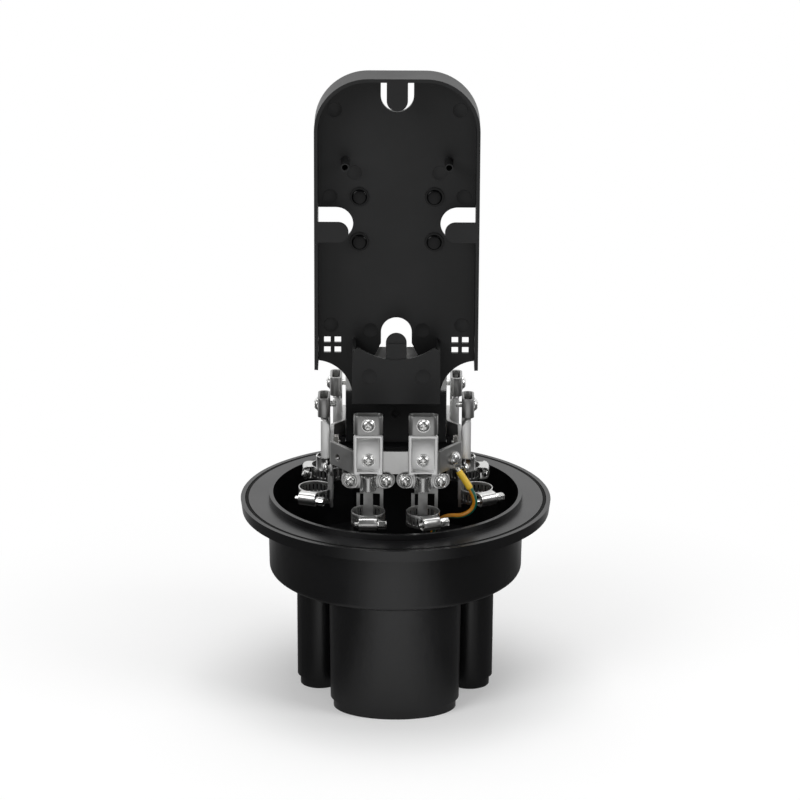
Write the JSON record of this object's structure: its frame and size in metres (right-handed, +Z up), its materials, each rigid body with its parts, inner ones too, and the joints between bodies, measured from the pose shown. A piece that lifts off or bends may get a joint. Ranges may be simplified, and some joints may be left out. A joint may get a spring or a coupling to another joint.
{
  "type": "dome splice closure",
  "caption": "Open base of a dome splice closure: black moulded cup and cable ports, aluminium hoop with cable holders and hose clamps, earth wire and upright tray carrier.",
  "frame": {"origin": "on the cup's axis, on the surface that the port ends stand on", "axes": "+Z up the cup's axis, -Y to the front (the oval port and the carrier's open side), +X right"},
  "size_m": [0.206, 0.206, 0.4146],
  "materials": {
    "base_moulding": "fine satin moulding",
    "post_moulding": "satin moulding",
    "carrier_moulding": "satin moulding",
    "rivet_plastic": "smooth moulding",
    "seal_rubber": "matt rubber",
    "hoop_aluminium": "satin sheet",
    "holder_aluminium": "satin cast",
    "bracket_steel": "zinc-plated sheet",
    "plate_steel": "zinc-plated sheet",
    "clamp_steel": "bright stainless",
    "strap_steel": "satin stainless",
    "band_steel": "polished stainless",
    "worm_steel": "bright zinc plating",
    "screw_plating": "bright zinc plating",
    "lug_tin": "tinned copper",
    "stud_steel": "zinc-plated steel",
    "sleeve_plastic": "shrunk sleeve",
    "wire_insulation": "smooth insulation"
  },
  "bodies": {
    "base": {"anchor_plate_front_left": "plate_steel", "anchor_plate_front_right": "plate_steel", "anchor_plate_left": "plate_steel", "anchor_plate_rear_left": "plate_steel", "anchor_plate_rear_right": "plate_steel", "anchor_plate_right": "plate_steel", "base_body": "base_moulding", "carrier_screws": "screw_plating", "clamp_screws": "screw_plating", "earth_lugs": "lug_tin", "earth_screw": "screw_plating", "earth_sleeve": "sleeve_plastic", "earth_stud": "stud_steel", "earth_wire": "wire_insulation", "flange_seal": "seal_rubber", "holder_front_left": "holder_aluminium", "holder_front_right": "holder_aluminium", "holder_left": "holder_aluminium", "holder_nuts": "screw_plating", "holder_rear_left": "holder_aluminium", "holder_rear_right": "holder_aluminium", "holder_right": "holder_aluminium", "holder_screws": "screw_plating", "hoop_band": "hoop_aluminium", "hose_clamp_front_left": "band_steel", "hose_clamp_front_right": "band_steel", "hose_clamp_left": "band_steel", "hose_clamp_rear_left": "band_steel", "hose_clamp_rear_right": "band_steel", "hose_clamp_right": "band_steel", "post_screws": "screw_plating", "push_rivets": "rivet_plastic", "saddle_front_left": "holder_aluminium", "saddle_front_right": "holder_aluminium", "saddle_left": "holder_aluminium", "saddle_rear_left": "holder_aluminium", "saddle_rear_right": "holder_aluminium", "saddle_right": "holder_aluminium", "saddle_screws": "screw_plating", "strap_front_left": "strap_steel", "strap_front_right": "strap_steel", "strap_left": "strap_steel", "strap_rear_left": "strap_steel", "strap_rear_right": "strap_steel", "strap_right": "strap_steel", "support_post": "post_moulding", "top_clamp_front_left": "clamp_steel", "top_clamp_front_right": "clamp_steel", "top_clamp_left": "clamp_steel", "top_clamp_rear_left": "clamp_steel", "top_clamp_rear_right": "clamp_steel", "top_clamp_right": "clamp_steel", "tray_carrier": "carrier_moulding", "upright_bracket": "bracket_steel"},
    "worm_front_left": {"worm_screw_front_left": "worm_steel"},
    "worm_front_right": {"worm_screw_front_right": "worm_steel"},
    "worm_left": {"worm_screw_left": "worm_steel"},
    "worm_rear_left": {"worm_screw_rear_left": "worm_steel"},
    "worm_rear_right": {"worm_screw_rear_right": "worm_steel"},
    "worm_right": {"worm_screw_right": "worm_steel"}
  },
  "joints": [
    {"name": "worm_turn_front_left", "type": "hinge", "parent": "base", "child": "worm_front_left", "pos_m": [-0.0178, -0.07386, 0.1345], "axis": [1, 0, 0], "continuous": true},
    {"name": "worm_turn_front_right", "type": "hinge", "parent": "base", "child": "worm_front_right", "pos_m": [0.02303, -0.07284, 0.1345], "axis": [0.9272, 0.3746, 0], "continuous": true},
    {"name": "worm_turn_left", "type": "hinge", "parent": "base", "child": "worm_left", "pos_m": [-0.05788, -0.02761, 0.1345], "axis": [0.9397, -0.342, 0], "continuous": true},
    {"name": "worm_turn_right", "type": "hinge", "parent": "base", "child": "worm_right", "pos_m": [0.0605, -0.02633, 0.1345], "axis": [0.848, 0.5299, 0], "continuous": true},
    {"name": "worm_turn_rear_left", "type": "hinge", "parent": "base", "child": "worm_rear_left", "pos_m": [-0.05986, 0.03, 0.1345], "axis": [0, -1, 0], "continuous": true},
    {"name": "worm_turn_rear_right", "type": "hinge", "parent": "base", "child": "worm_rear_right", "pos_m": [0.05986, 0.03, 0.1345], "axis": [0, 1, 0], "continuous": true}
  ]
}
